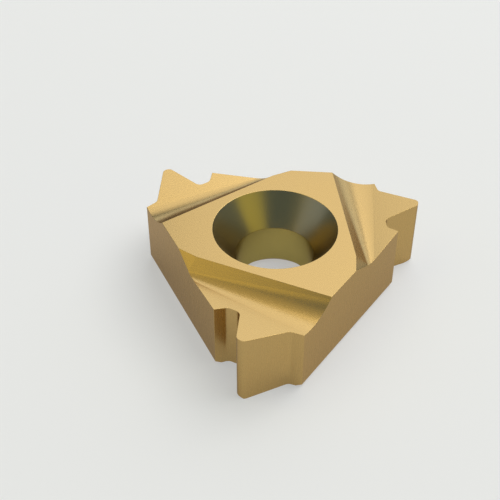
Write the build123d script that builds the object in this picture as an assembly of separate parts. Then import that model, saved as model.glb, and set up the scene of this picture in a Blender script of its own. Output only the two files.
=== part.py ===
from build123d import *
import os
from math import asin, cos, radians, sin, tan

os.makedirs("parts", exist_ok=True)

# An indexable insert that cuts screw threads: one piece of hard metal, pressed, sintered and
# ground. Millimetres. It lies on z = 0, with the screw hole along Z. The body is a flat
# three-sided block, and a tooth stands at each corner, a third of a turn apart.
# A tooth is drawn in a frame of its own: X runs along the tooth, outwards, and Y across it.
# The tooth runs parallel to one side face, and the other slants across in front of it.

# Body
inscribed_circle = 9.525
thickness = 3.85
seat_bevel_height = 0.17
seat_bevel_width = 0.29

# Screw hole
hole_diameter = 3.8
countersink_diameter = 6.0
countersink_angle = 70
hole_bevel = 0.3

# Tooth, seen from above
thread_angle = 60
tooth_to_parallel_side = 1.92
crest_to_slanting_side = 0.17
crest_flat = 0.07
crest_radius = 0.26

# Shoulder between the tooth and the parallel side face
parallel_root_depth = 1.93
parallel_root_radius = 0.3
parallel_shoulder_tilt = 16

# Shoulder between the tooth and the slanting side face, which climbs a cheek to reach it
slanting_root_depth = 1.63
slanting_root_radius = 0.32
slanting_shoulder_tilt = 7
slanting_shoulder_width = 0.61
cheek_angle = 36
cheek_radius = 0.35

# Ground rake face, which climbs from a hollow behind the tooth to the cutting edge
rake_angle = 10
crest_drop = 0.21

# Wall square to the tooth, at the hollow's narrow end
square_wall_from_crest = 3.08
square_wall_angle = 41
square_wall_radius = 0.4

# Skewed wall behind the rest of the hollow. The radius at its foot grows along it.
skewed_wall_from_crest = 3.95
skewed_wall_angle = 42
skewed_wall_skew = 10.7
skewed_wall_radius = 1.8
skewed_wall_taper = 16

# Worked out from the sizes above
side = inscribed_circle / 2
flank_slope = tan(radians(thread_angle / 2))
crest_turn = radians(90 - thread_angle / 2)
half_crest = crest_flat / 2 + crest_radius * tan(crest_turn / 2)
tooth_y = side - tooth_to_parallel_side
slant = radians(30)
crest_x = (side - crest_to_slanting_side + tooth_y * sin(slant)) / cos(slant)
crest_z = thickness - crest_drop
countersink_depth = (countersink_diameter - hole_diameter) / 2 / tan(radians(countersink_angle / 2))


def tooth_corners():
    """Corners of a tooth from above, each with its radius, from the slanting to the parallel side."""
    slanting_root_x = crest_x - slanting_root_depth
    slanting_root_y = tooth_y - half_crest - slanting_root_depth * flank_slope
    cheek_x = slanting_root_x + slanting_shoulder_width * tan(radians(slanting_shoulder_tilt))
    cheek_y = slanting_root_y - slanting_shoulder_width
    cheek = radians(cheek_angle)
    cheek_length = (side - cheek_x * cos(slant) + cheek_y * sin(slant)) / cos(slant - cheek)
    parallel_root_x = crest_x - parallel_root_depth
    parallel_root_y = tooth_y + half_crest + parallel_root_depth * flank_slope
    parallel_end_x = parallel_root_x - (side - parallel_root_y) * tan(radians(parallel_shoulder_tilt))
    return [
        ((cheek_x + cheek_length * cos(cheek), cheek_y - cheek_length * sin(cheek)), 0),
        ((cheek_x, cheek_y), cheek_radius),
        ((slanting_root_x, slanting_root_y), slanting_root_radius),
        ((crest_x, tooth_y - half_crest), crest_radius),
        ((crest_x, tooth_y + half_crest), crest_radius),
        ((parallel_root_x, parallel_root_y), parallel_root_radius),
        ((parallel_end_x, side), 0),
    ]


def toothed_outline():
    """Outline of the insert from above: the three teeth, joined by what is left of the side faces."""
    points = []
    radii = []
    for turn in (0, 120, 240):
        for (x, y), radius in tooth_corners():
            points.append(Vector(x, y).rotate(Axis.Z, turn))
            radii.append(radius)
    return make_face(FilletPolyline(points, radius=radii, close=True))


def blank():
    """Pressed three-sided block, bevelled all round its seat."""
    block = extrude(RegularPolygon(side, 3, major_radius=False, rotation=30), thickness)
    seat = block.faces().sort_by(Axis.Z)[0]
    return chamfer(seat.edges(), seat_bevel_width, seat_bevel_height, reference=seat)


def screw_hole():
    """Space of the screw: countersunk from above, straight, and bevelled at the seat."""
    hole = hole_diameter / 2
    half_section = Polyline(
        (0, 0),
        (hole + hole_bevel, 0),
        (hole, hole_bevel),
        (hole, thickness - countersink_depth),
        (countersink_diameter / 2, thickness),
        (0, thickness),
        close=True,
    )
    return revolve(Plane.XZ * make_face(half_section), Axis.Z)


def square_cut():
    """Room over the rake face in front of the square wall."""
    rise = tan(radians(rake_angle))
    fall = tan(radians(square_wall_angle))
    reach = inscribed_circle
    top_x = crest_x - square_wall_from_crest
    foot_x = (thickness + top_x * fall - crest_z + crest_x * rise) / (fall + rise)
    foot_z = thickness - (foot_x - top_x) * fall
    profile = FilletPolyline(
        (top_x - reach / fall, thickness + reach),
        (foot_x, foot_z),
        (crest_x + reach, crest_z + reach * rise),
        (crest_x + reach, thickness + reach),
        radius=[0, square_wall_radius, 0, 0],
        close=True,
    )
    return extrude(Plane.XZ * make_face(profile), reach, both=True)


def skewed_cut():
    """Room over the rake face in front of the skewed wall, whose foot is rounded by a cone."""
    reach = 2 * inscribed_circle
    rake = Plane(Pos(crest_x, tooth_y, crest_z) * Rot(Y=-rake_angle))
    wall_top = Pos(crest_x - skewed_wall_from_crest, tooth_y, thickness)
    wall = Plane(wall_top * Rot(Z=skewed_wall_skew) * Rot(Y=skewed_wall_angle))
    crease = rake.intersect(wall)
    level_with_crest = Plane((0, tooth_y, 0), z_dir=(0, 1, 0)).intersect(crease)

    # The cone's apex is on the crease, and the cone touches the rake face and the wall
    taper = radians(skewed_wall_taper)
    apex = level_with_crest - crease.direction * (skewed_wall_radius / tan(taper))
    between = (rake.z_dir + wall.z_dir).normalized()
    lift = asin(sin(taper) / between.dot(rake.z_dir))
    axis = crease.direction * cos(lift) + between * sin(lift)
    cone = Cone(0, reach * tan(taper), reach, align=(Align.CENTER, Align.CENTER, Align.MIN))

    # Past the two lines where it touches them, the room is bounded by the flat faces
    touches_rake = axis - rake.z_dir * axis.dot(rake.z_dir)
    touches_wall = axis - wall.z_dir * axis.dot(wall.z_dir)
    past_cone = Plane(apex, z_dir=touches_rake.cross(touches_wall))
    room = Pos(crest_x, tooth_y, crest_z) * Box(reach, reach, reach)
    for face in (rake, wall, past_cone):
        room = split(room, bisect_by=face, keep=Keep.TOP)
    return room + Plane(apex, z_dir=axis) * cone


insert = blank() & extrude(toothed_outline(), thickness)
insert -= screw_hole()
for tooth in PolarLocations(0, 3):
    insert -= tooth * skewed_cut()
    insert -= tooth * square_cut()

insert.label = "threading_insert"
export_step(insert, "parts/threading_insert.step")
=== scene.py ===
import math

import bmesh
import bpy
from mathutils import Matrix, Vector


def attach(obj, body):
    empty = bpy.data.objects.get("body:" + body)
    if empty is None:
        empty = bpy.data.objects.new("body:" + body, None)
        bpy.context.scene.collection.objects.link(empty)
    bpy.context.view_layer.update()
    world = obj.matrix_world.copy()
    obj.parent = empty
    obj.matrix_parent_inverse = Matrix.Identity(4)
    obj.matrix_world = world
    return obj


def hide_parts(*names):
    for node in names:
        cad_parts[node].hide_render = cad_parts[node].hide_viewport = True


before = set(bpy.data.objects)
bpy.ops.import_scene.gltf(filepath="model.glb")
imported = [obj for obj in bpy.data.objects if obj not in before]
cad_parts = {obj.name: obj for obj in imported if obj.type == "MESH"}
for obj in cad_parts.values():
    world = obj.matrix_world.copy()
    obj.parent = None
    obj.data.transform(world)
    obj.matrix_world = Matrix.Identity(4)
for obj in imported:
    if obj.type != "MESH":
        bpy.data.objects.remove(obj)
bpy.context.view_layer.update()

# The blank: hard metal powder, pressed to a flat three-sided block and sintered. A profile wheel
# then grinds a thread tooth at each corner, between two shoulders. Sizes are in millimetres until
# the insert is finished. A tooth is drawn with X along it, outwards, and Y across it.
TEETH = 3
THICKNESS = 3.85
INSCRIBED_RADIUS = 9.525 / 2
SEAT_BEVEL_HEIGHT = 0.17
SEAT_BEVEL_WIDTH = 0.29
FLANK_SLOPE = math.tan(math.radians(30))
TOOTH_Y = INSCRIBED_RADIUS - 1.92
CREST_TO_SLANTING_SIDE = 0.17
CREST_FLAT = 0.07
CREST_RADIUS = 0.26
CREST_TURN = math.radians(60)
PARALLEL_ROOT_DEPTH = 1.93
PARALLEL_ROOT_RADIUS = 0.3
PARALLEL_SHOULDER_TILT = math.radians(16)
SLANTING_ROOT_DEPTH = 1.63
SLANTING_ROOT_RADIUS = 0.32
SLANTING_SHOULDER_TILT = math.radians(7)
SLANTING_SHOULDER_WIDTH = 0.61
CHEEK_ANGLE = math.radians(36)
CHEEK_RADIUS = 0.35
ROUNDING_STEPS = 9
ON_THE_PLANE = 1e-6
LEVEL_FROM = 0.99

# What shows all over is the coating: gold titanium nitride, a few micrometres thick, laid down
# from vapour over the finished insert. It is even, and keeps the marks of what is under it.
MM = 0.001
GOLD = (0.5, 0.337, 0.133, 1)
WARM_GOLD = (0.515, 0.342, 0.127, 1)
GOLD_AT_GRAZING = (0.62, 0.58, 0.58, 1)
CLOUD_SIZE = 2.5 * MM
GROUND_ROUGHNESS = 0.27
GROUND_RELIEF = 0.00008
SHEEN_CHANGE = 0.06
LAPPING_MARK = (0.06, 0.06, 0.06)
UPRIGHT_MARK = (0.05, 0.05, 1.6)


class Wire:
    """A socket of a node tree. Arithmetic on it adds Math nodes, and node() adds any other."""

    def __init__(self, tree, socket=None):
        self.tree = tree
        self.socket = socket

    def node(self, kind, inputs, output=0, **settings):
        made = self.tree.nodes.new(kind)
        for name, setting in settings.items():
            setattr(made, name, setting)
        for name, value in inputs.items():
            if isinstance(value, Wire):
                self.tree.links.new(value.socket, made.inputs[name])
            else:
                made.inputs[name].default_value = value
        return Wire(self.tree, made.outputs[output])

    def __add__(self, other):
        return self.node("ShaderNodeMath", {0: self, 1: other}, operation="ADD")

    def __mul__(self, other):
        return self.node("ShaderNodeMath", {0: self, 1: other}, operation="MULTIPLY")

    __radd__ = __add__
    __rmul__ = __mul__


def gold_over(
    name, mark, turn=0.0, colours=(GOLD, WARM_GOLD), roughness=GROUND_ROUGHNESS, relief=GROUND_RELIEF,
):
    """Gold coating over marks of a size and relief in millimetres, turned about the upright axis."""
    material = bpy.data.materials.new(name)
    material.use_nodes = True
    tree = material.node_tree
    gold = tree.nodes["Principled BSDF"]
    gold.inputs["Metallic"].default_value = 1
    gold.inputs["Specular Tint"].default_value = GOLD_AT_GRAZING
    wire = Wire(tree)
    place = wire.node("ShaderNodeTexCoord", {}, output="Object")
    marked = wire.node(
        "ShaderNodeMapping",
        {"Vector": place, "Rotation": (0, 0, turn), "Scale": Vector(mark) * MM},
        vector_type="TEXTURE",
    )
    marks = wire.node("ShaderNodeTexNoise", {"Vector": marked, "Scale": 1, "Detail": 2})
    cloud = wire.node("ShaderNodeTexNoise", {"Vector": place, "Scale": 1 / CLOUD_SIZE, "Detail": 2})
    tint = wire.node("ShaderNodeMix", {0: cloud, 6: colours[0], 7: colours[1]}, output=2, data_type="RGBA")
    sheen = marks * SHEEN_CHANGE + (roughness - SHEEN_CHANGE / 2)
    bumps = wire.node("ShaderNodeBump", {"Height": marks, "Strength": 1, "Distance": relief * MM})
    tree.links.new(tint.socket, gold.inputs["Base Color"])
    tree.links.new(sheen.socket, gold.inputs["Roughness"])
    tree.links.new(bumps.socket, gold.inputs["Normal"])
    return material


slant = math.radians(30)
half_crest = CREST_FLAT / 2 + CREST_RADIUS * math.tan(CREST_TURN / 2)
crest_x = (INSCRIBED_RADIUS - CREST_TO_SLANTING_SIDE + TOOTH_Y * math.sin(slant)) / math.cos(slant)
crest_low = Vector((crest_x, TOOTH_Y - half_crest))
crest_high = Vector((crest_x, TOOTH_Y + half_crest))
slanting_root = crest_low - Vector((1, FLANK_SLOPE)) * SLANTING_ROOT_DEPTH
cheek = slanting_root + Vector((math.tan(SLANTING_SHOULDER_TILT), -1)) * SLANTING_SHOULDER_WIDTH
cheek_gap = INSCRIBED_RADIUS - cheek.x * math.cos(slant) + cheek.y * math.sin(slant)
cheek_way = Vector((math.cos(CHEEK_ANGLE), -math.sin(CHEEK_ANGLE)))
cheek_end = cheek + cheek_way * (cheek_gap / math.cos(slant - CHEEK_ANGLE))
parallel_root = crest_high - Vector((1, -FLANK_SLOPE)) * PARALLEL_ROOT_DEPTH
parallel_way = Vector((-math.tan(PARALLEL_SHOULDER_TILT), 1))
parallel_end = parallel_root + parallel_way * (INSCRIBED_RADIUS - parallel_root.y)
# The corners of one tooth, each with its radius, from the cheek round the crest to the far shoulder
tooth_outline = [
    (cheek_end, 0),
    (cheek, CHEEK_RADIUS),
    (slanting_root, SLANTING_ROOT_RADIUS),
    (crest_low, CREST_RADIUS),
    (crest_high, CREST_RADIUS),
    (parallel_root, PARALLEL_ROOT_RADIUS),
    (parallel_end, 0),
]
tooth_turns = [Matrix.Rotation(math.tau * tooth / TEETH, 3, "Z") for tooth in range(TEETH)]

blank = bmesh.new()
corners = []
for turn in tooth_turns:
    for corner, radius in tooth_outline:
        corners.append((blank.verts.new(turn @ corner.to_3d()), radius))
blank.faces.new([vert for vert, radius in corners])
for vert, radius in corners:
    if radius:
        one_way, other_way = (edge.other_vert(vert).co - vert.co for edge in vert.link_edges)
        bend = math.pi - one_way.angle(other_way)
        bmesh.ops.bevel(
            blank, geom=[vert], offset=radius * math.tan(bend / 2), offset_type="OFFSET",
            segments=ROUNDING_STEPS, profile=0.5, affect="VERTICES", material=-1,
        )
raised = bmesh.ops.extrude_face_region(blank, geom=blank.faces[:])
raised_verts = [part for part in raised["geom"] if isinstance(part, bmesh.types.BMVert)]
bmesh.ops.translate(blank, vec=(0, 0, THICKNESS), verts=raised_verts)
bmesh.ops.recalc_face_normals(blank, faces=blank.faces)


def cut_flat(shape, point, normal):
    """Cut off what lies behind a plane, and close the cut."""
    cut = bmesh.ops.bisect_plane(
        shape, geom=shape.verts[:] + shape.edges[:] + shape.faces[:], dist=ON_THE_PLANE,
        plane_co=point, plane_no=-normal, clear_outer=True,
    )
    rim = [part for part in cut["geom_cut"] if isinstance(part, bmesh.types.BMEdge)]
    bmesh.ops.holes_fill(shape, edges=rim, sides=0)


for turn in tooth_turns:
    side_foot = turn @ Vector((0, INSCRIBED_RADIUS, SEAT_BEVEL_HEIGHT))
    inwards = turn @ Vector((0, -SEAT_BEVEL_HEIGHT, SEAT_BEVEL_WIDTH)).normalized()
    cut_flat(blank, side_foot, inwards)
for face in blank.faces:
    face.material_index = int(abs(face.normal.z) < LEVEL_FROM)

insert = bpy.data.objects.new("insert", bpy.data.meshes.new("insert"))
bpy.context.collection.objects.link(insert)
insert.data.materials.append(gold_over("gold_over_lapping", LAPPING_MARK))
insert.data.materials.append(gold_over("gold_over_upright_grinding", UPRIGHT_MARK))
blank.to_mesh(insert.data)
blank.free()
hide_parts("threading_insert")
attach(insert, "root")

# The screw hole: pressed with the blank and left as sintered, so it is smoother than the ground
# faces. It is countersunk for the head of the clamping screw, and bevelled at the seat. Its gold
# is paler and greener in the countersink and the seat bevel. Down the straight wall it is darker:
# painted shade, standing in for the shade that falls inside the bore.
HOLE_RADIUS = 1.9
COUNTERSINK_RADIUS = 3.0
COUNTERSINK_SLOPE = math.tan(math.radians(35))
HOLE_BEVEL = 0.3
HOLE_STEPS = 144
PAST_THE_FACE = 1
SAME_POINT = 1e-5
UPRIGHT_BELOW = 0.01
PRESSING_MARK = (0.12, 0.12, 0.12)
PRESSED_ROUGHNESS = 0.31
PRESSED_RELIEF = 0.0002
# A paler, greener gold for the countersink and the seat bevel
COUNTERSINK_GOLD = (0.48, 0.36, 0.145, 1)
PALE_GOLD = (0.48, 0.37, 0.16, 1)
# Painted shade: the straight wall of the bore gets a darker gold in place of the shade down the hole
BORE_SHADE_GOLD = (0.385, 0.305, 0.09, 1)
BORE_SHADE_PALE_GOLD = (0.39, 0.315, 0.105, 1)


def keep_shown(modifier):
    """Make the shape that a modifier shows the insert's own mesh, and remove the modifier."""
    before = insert.data
    shown = insert.evaluated_get(bpy.context.evaluated_depsgraph_get())
    insert.data = bpy.data.meshes.new_from_object(shown)
    insert.modifiers.remove(modifier)
    bpy.data.meshes.remove(before)


def take_away(cutter, *finishes):
    """Take a cutter's space out of the insert. Each new face gets the finish of its material index."""
    for face in cutter.faces:
        face.material_index += len(insert.data.materials)
    for finish in finishes:
        insert.data.materials.append(finish)
    bmesh.ops.recalc_face_normals(cutter, faces=cutter.faces)
    tool = bpy.data.objects.new("cutter", bpy.data.meshes.new("cutter"))
    bpy.context.collection.objects.link(tool)
    cutter.to_mesh(tool.data)
    cutter.free()
    cut = insert.modifiers.new("cut", "BOOLEAN")
    cut.operation = "DIFFERENCE"
    cut.solver = "EXACT"
    cut.object = tool
    keep_shown(cut)
    bpy.data.meshes.remove(tool.data)


hole = bmesh.new()
profile = [
    hole.verts.new(point) for point in (
        (0, 0, -PAST_THE_FACE),
        (HOLE_RADIUS + HOLE_BEVEL + PAST_THE_FACE, 0, -PAST_THE_FACE),
        (HOLE_RADIUS, 0, HOLE_BEVEL),
        (HOLE_RADIUS, 0, THICKNESS - (COUNTERSINK_RADIUS - HOLE_RADIUS) / COUNTERSINK_SLOPE),
        (COUNTERSINK_RADIUS + COUNTERSINK_SLOPE * PAST_THE_FACE, 0, THICKNESS + PAST_THE_FACE),
        (0, 0, THICKNESS + PAST_THE_FACE),
    )
]
profile_edges = [hole.edges.new(pair) for pair in zip(profile, profile[1:])]
bmesh.ops.spin(
    hole, geom=profile + profile_edges, cent=(0, 0, 0), axis=(0, 0, 1), angle=math.tau,
    steps=HOLE_STEPS, use_merge=True,
)
bmesh.ops.remove_doubles(hole, verts=hole.verts, dist=SAME_POINT)
bmesh.ops.recalc_face_normals(hole, faces=hole.faces)
for face in hole.faces:
    face.material_index = int(abs(face.normal.z) < UPRIGHT_BELOW)
pressed = []
for name, colours in (
    ("gold_over_pressing", (COUNTERSINK_GOLD, PALE_GOLD)),
    # the darker gold down the bore is painted shade
    ("gold_with_painted_shade_down_the_hole", (BORE_SHADE_GOLD, BORE_SHADE_PALE_GOLD)),
):
    pressed.append(gold_over(
        name, PRESSING_MARK, colours=colours, roughness=PRESSED_ROUGHNESS, relief=PRESSED_RELIEF,
    ))
take_away(hole, *pressed)

# The chip hollows: one behind each tooth. A wheel grinds a rake face that climbs to the cutting
# edge, below a wall square to the tooth at the narrow end and a skewed wall along the rest. The
# wheel's worn corner rounds the foot of the skewed wall, more and more towards its far end.
RAKE_ANGLE = math.radians(10)
CREST_DROP = 0.21
SQUARE_WALL_FROM_CREST = 3.08
SQUARE_WALL_ANGLE = math.radians(41)
SQUARE_WALL_RADIUS = 0.4
SQUARE_FOOT_STEPS = 8
SKEWED_WALL_FROM_CREST = 3.95
SKEWED_WALL_ANGLE = math.radians(42)
SKEWED_WALL_SKEW = math.radians(10.7)
SKEWED_WALL_RADIUS = 1.8
SKEWED_WALL_TAPER = math.radians(16)
SKEWED_FOOT_STEPS = 18
GRINDING_MARK = (0.05, 1.6, 0.05)
ROOM_SIZE = 4 * INSCRIBED_RADIUS

crest = Vector((crest_x, TOOTH_Y, THICKNESS - CREST_DROP))
rake_normal = Vector((-math.sin(RAKE_ANGLE), 0, math.cos(RAKE_ANGLE)))
up_the_rake = Vector((math.cos(RAKE_ANGLE), 0, math.sin(RAKE_ANGLE)))


def rake_meets(point, normal):
    """Where a plane crosses the line that runs down the rake face from the crest."""
    return crest + up_the_rake * ((point - crest).dot(normal) / up_the_rake.dot(normal))


def grind_hollow(planes, skew):
    """Take away the room in front of some planes, each a point and a normal, at every tooth."""
    for tooth, turn in enumerate(tooth_turns):
        room = bmesh.new()
        bmesh.ops.create_cube(room, size=ROOM_SIZE, matrix=Matrix.Translation(crest))
        for point, normal in planes:
            cut_flat(room, point, normal)
        bmesh.ops.rotate(room, verts=room.verts, cent=(0, 0, 0), matrix=turn)
        marks_turn = math.tau * tooth / TEETH + skew
        take_away(room, gold_over("gold_over_hollow_grinding", GRINDING_MARK, turn=marks_turn))


# Each plane of the skewed wall's foot touches a cone whose apex is on the crease
wall_normal = Vector((math.sin(SKEWED_WALL_ANGLE), 0, math.cos(SKEWED_WALL_ANGLE)))
wall_normal.rotate(Matrix.Rotation(SKEWED_WALL_SKEW, 3, "Z"))
wall_top = Vector((crest_x - SKEWED_WALL_FROM_CREST, TOOTH_Y, THICKNESS))
crease_way = rake_normal.cross(wall_normal).normalized()
crease = rake_meets(wall_top, wall_normal)
between = (rake_normal + wall_normal).normalized()
lift = math.asin(math.sin(SKEWED_WALL_TAPER) / between.dot(rake_normal))
apex = crease - crease_way * (SKEWED_WALL_RADIUS / math.tan(SKEWED_WALL_TAPER))
cone_axis = crease_way * math.cos(lift) + between * math.sin(lift)
rake_side = rake_normal - cone_axis * cone_axis.dot(rake_normal)
wall_side = wall_normal - cone_axis * cone_axis.dot(wall_normal)
step_angle = rake_side.angle(wall_side) / SKEWED_FOOT_STEPS
foot_turns = [Matrix.Rotation(step_angle * step, 3, cone_axis) for step in range(SKEWED_FOOT_STEPS + 1)]
grind_hollow([(apex, turn @ rake_normal) for turn in foot_turns], SKEWED_WALL_SKEW)

# Each plane of the square wall's foot touches a cylinder that runs across the tooth
square_normal = Vector((math.sin(SQUARE_WALL_ANGLE), 0, math.cos(SQUARE_WALL_ANGLE)))
square_top = Vector((crest_x - SQUARE_WALL_FROM_CREST, TOOTH_Y, THICKNESS))
square_crease = rake_meets(square_top, square_normal)
between = (rake_normal + square_normal).normalized()
foot_centre = square_crease + between * (SQUARE_WALL_RADIUS / between.dot(rake_normal))
step_angle = (RAKE_ANGLE + SQUARE_WALL_ANGLE) / SQUARE_FOOT_STEPS
foot_turns = [Matrix.Rotation(step_angle * step, 3, "Y") for step in range(SQUARE_FOOT_STEPS + 1)]
foot_normals = [turn @ rake_normal for turn in foot_turns]
grind_hollow([(foot_centre - normal * SQUARE_WALL_RADIUS, normal) for normal in foot_normals], 0)

# The hone: after grinding, brushing from above breaks the sharp edges of the upper face, teeth and
# hollows by a hundredth of a millimetre or so. The coating goes over them. The edges round the
# seat stay as they were ground. Then the insert is brought to metres.
SHARP_FROM = math.radians(22)
FLAT_WITHIN = math.radians(0.1)
DECIMALS = 4
MERGE_WITHIN = 0.009
HONE = 0.012
HONE_STEPS = 2
ALIKE_AREA = 0.05
SHARP_AFTER_HONE = math.radians(50)


def rounded_place(vert):
    """A corner's place, without the last digits, which can differ from run to run."""
    return tuple(round(part, DECIMALS) for part in vert.co)


# The cuts leave the faces in no fixed order, so they are put in one, for the same mesh at each run
unordered = bmesh.new()
unordered.from_mesh(insert.data)
outlines = []
for face in unordered.faces:
    verts = list(face.verts)
    first = min(range(len(verts)), key=lambda index: rounded_place(verts[index]))
    outlines.append((verts[first:] + verts[:first], face.material_index))
outlines.sort(key=lambda outline: [rounded_place(vert) for vert in outline[0]])
shape = bmesh.new()
ordered = {vert: shape.verts.new(vert.co) for vert in sorted(unordered.verts, key=rounded_place)}
for verts, finish in outlines:
    shape.faces.new([ordered[vert] for vert in verts]).material_index = finish
unordered.free()

bmesh.ops.remove_doubles(shape, verts=shape.verts, dist=MERGE_WITHIN)
bmesh.ops.dissolve_limit(
    shape, angle_limit=FLAT_WITHIN, use_dissolve_boundaries=False,
    verts=shape.verts, edges=shape.edges, delimit=set(),
)
honed = []
for edge in shape.edges:
    one_face, other_face = edge.link_faces
    bend = edge.calc_face_angle()
    between_cuts = one_face.material_index != other_face.material_index and bend > FLAT_WITHIN
    edge.smooth = bend < SHARP_FROM and not between_cuts
    if bend > SHARP_FROM and max(vert.co.z for vert in edge.verts) > THICKNESS / 2:
        honed.append(edge)
made = bmesh.ops.bevel(
    shape, geom=honed, offset=HONE, offset_type="OFFSET", segments=HONE_STEPS, profile=0.5,
    affect="EDGES", clamp_overlap=False, loop_slide=True, material=-1, face_strength_mode="ALL",
)
for face in made["faces"]:
    for edge in face.edges:
        edge.smooth = edge.calc_face_angle() < SHARP_AFTER_HONE
for face in shape.faces:
    face.smooth = True
shape.to_mesh(insert.data)
shape.free()

# The ground faces keep their own flat normals, and the strips of the hone turn from one to the next
weighted = insert.modifiers.new("weighted", "WEIGHTED_NORMAL")
weighted.keep_sharp = True
weighted.use_face_influence = True
weighted.weight = 100
weighted.thresh = ALIKE_AREA
keep_shown(weighted)
insert.data.transform(Matrix.Scale(MM, 4))

# The stage: a pale, faintly glowing floor like a light table, so that the insert's shadow is weak,
# and plain soft studio lights.
FLOOR_SIZE = 12
FLOOR_GREY = (0.42, 0.42, 0.42, 1)
FLOOR_GLOW = 0.4
ROOM_COLOUR = (0.42, 0.64, 1, 1)
ROOM_BRIGHTNESS = 0.25
LIGHT_DISTANCE = 0.5
POWER_FOR_BRIGHTNESS = 4

bpy.ops.mesh.primitive_plane_add(size=FLOOR_SIZE)
floor = bpy.context.object
floor.name = "floor"
pale = bpy.data.materials.new("pale_floor")
pale.use_nodes = True
matt = pale.node_tree.nodes["Principled BSDF"]
matt.inputs["Base Color"].default_value = FLOOR_GREY
matt.inputs["Roughness"].default_value = 1
matt.inputs["Emission Color"].default_value = (1, 1, 1, 1)
matt.inputs["Emission Strength"].default_value = FLOOR_GLOW
floor.data.materials.append(pale)

world = bpy.data.worlds.new("studio")
bpy.context.scene.world = world
world.use_nodes = True
world.node_tree.nodes["Background"].inputs["Color"].default_value = ROOM_COLOUR
world.node_tree.nodes["Background"].inputs["Strength"].default_value = ROOM_BRIGHTNESS


def softbox(name, azimuth, elevation, width, height, brightness, colour):
    """Flat studio light, in metres, that faces the insert. Its angles are in degrees: the bearing
    clockwise from straight behind the insert, and the height over the floor. Its face is as
    bright as its brightness says, whatever its size, and 1 shows as white."""
    bearing = math.radians(azimuth)
    lift = math.radians(elevation)
    towards = Vector((
        math.sin(bearing) * math.cos(lift),
        math.cos(bearing) * math.cos(lift),
        math.sin(lift),
    ))
    lamp = bpy.data.objects.new(name, bpy.data.lights.new(name, "AREA"))
    bpy.context.collection.objects.link(lamp)
    lamp.data.shape = "RECTANGLE"
    lamp.data.size = width
    lamp.data.size_y = height
    lamp.data.color = colour
    lamp.visible_camera = False
    lamp.data.energy = POWER_FOR_BRIGHTNESS * width * height * brightness
    lamp.location = towards * LIGHT_DISTANCE
    lamp.rotation_euler = towards.to_track_quat("Z", "Y").to_euler()


softbox("back_softbox", 5, 41, 0.29, 0.35, 1.08, (1, 1, 1))
softbox("back_right_softbox", 46, 38, 0.29, 0.28, 1.15, (1, 0.98, 1))
softbox("key_softbox", 58, 62, 0.42, 0.42, 2.2, (1, 0.97, 0.86))
softbox("horizon_card", 8, 12.5, 0.64, 0.17, 1.05, (0.78, 0.87, 1))
softbox("top_left_card", -50, 67, 0.34, 0.2, 0.46, (1, 0.82, 0.2))
softbox("left_front_card", -103, 50, 0.42, 0.22, 0.82, (1, 0.84, 0.18))
softbox("left_low_card", -105, 20, 0.42, 0.2, 0.42, (0.45, 0.55, 1))
softbox("right_front_card", 129, 20, 0.42, 0.28, 0.47, (1, 0.9, 0))

# The camera stands in front, a little to the right, and looks down on the insert
CAMERA_AIM = Vector((-1.05, -1.77, 3.85)) * MM
CAMERA_DISTANCE = 45.1 * MM
CAMERA_AZIMUTH = math.radians(4.9)
CAMERA_ELEVATION = math.radians(40.0)
CAMERA_LENS = 69.9
NEAREST_SEEN = 1 * MM
FURTHEST_SEEN = 10
towards_camera = Vector((
    math.sin(CAMERA_AZIMUTH) * math.cos(CAMERA_ELEVATION),
    -math.cos(CAMERA_AZIMUTH) * math.cos(CAMERA_ELEVATION),
    math.sin(CAMERA_ELEVATION),
))
camera = bpy.data.objects.new("camera", bpy.data.cameras.new("camera"))
bpy.context.collection.objects.link(camera)
camera.data.lens = CAMERA_LENS
camera.data.clip_start = NEAREST_SEEN
camera.data.clip_end = FURTHEST_SEEN
camera.location = CAMERA_AIM + towards_camera * CAMERA_DISTANCE
camera.rotation_euler = (-towards_camera).to_track_quat("-Z", "Y").to_euler()
bpy.context.scene.camera = camera
bpy.context.scene.view_settings.view_transform = "Standard"
